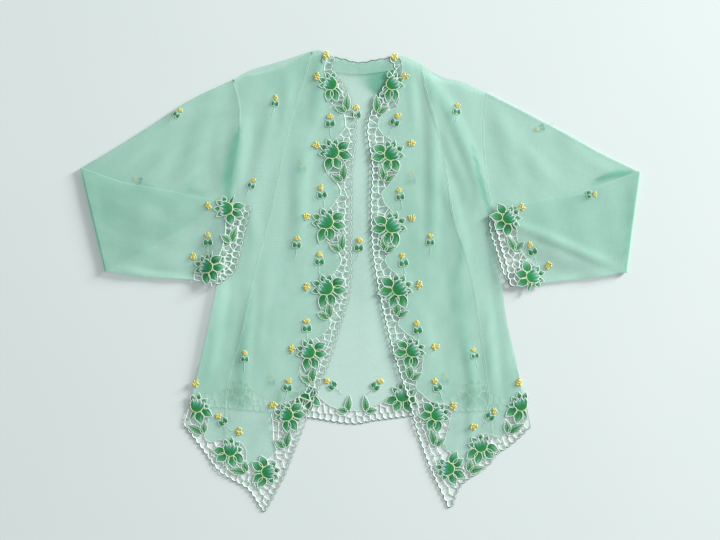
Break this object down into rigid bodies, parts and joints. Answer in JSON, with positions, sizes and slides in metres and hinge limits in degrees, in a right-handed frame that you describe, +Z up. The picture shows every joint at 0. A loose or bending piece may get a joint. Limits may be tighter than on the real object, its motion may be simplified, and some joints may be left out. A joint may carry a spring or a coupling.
{
  "type": "kebaya blouse",
  "caption": "Sheer open-front kebaya blouse with cutwork borders, laid flat on its back with both sleeves folded in over the body.",
  "frame": {"origin": "on the surface that the blouse lies on, under the middle of its outline", "axes": "+X from the wearer's right sleeve to the left one, to the right as seen from above; +Y toward the neck; +Z up, away from the surface"},
  "size_m": [0.8382, 0.689, 0.0083],
  "materials": {
    "body_voile": "sheer mint voile, soft and matt",
    "sleeve_voile": "sheer mint voile, soft and matt",
    "cutwork_border": "cutwork embroidery in white, green and yellow thread, satin stitch"
  },
  "bodies": {
    "root": {"back_panel": "body_voile", "back_hem_border": "cutwork_border", "neck_band": "body_voile", "front_side_left": "body_voile", "front_centre_left": "body_voile", "front_border_left": "cutwork_border", "hem_border_left": "cutwork_border", "sleeve_left": "sleeve_voile", "cuff_border_left": "cutwork_border", "front_side_right": "body_voile", "front_centre_right": "body_voile", "front_border_right": "cutwork_border", "hem_border_right": "cutwork_border", "sleeve_right": "sleeve_voile", "cuff_border_right": "cutwork_border"}
  },
  "joints": []
}
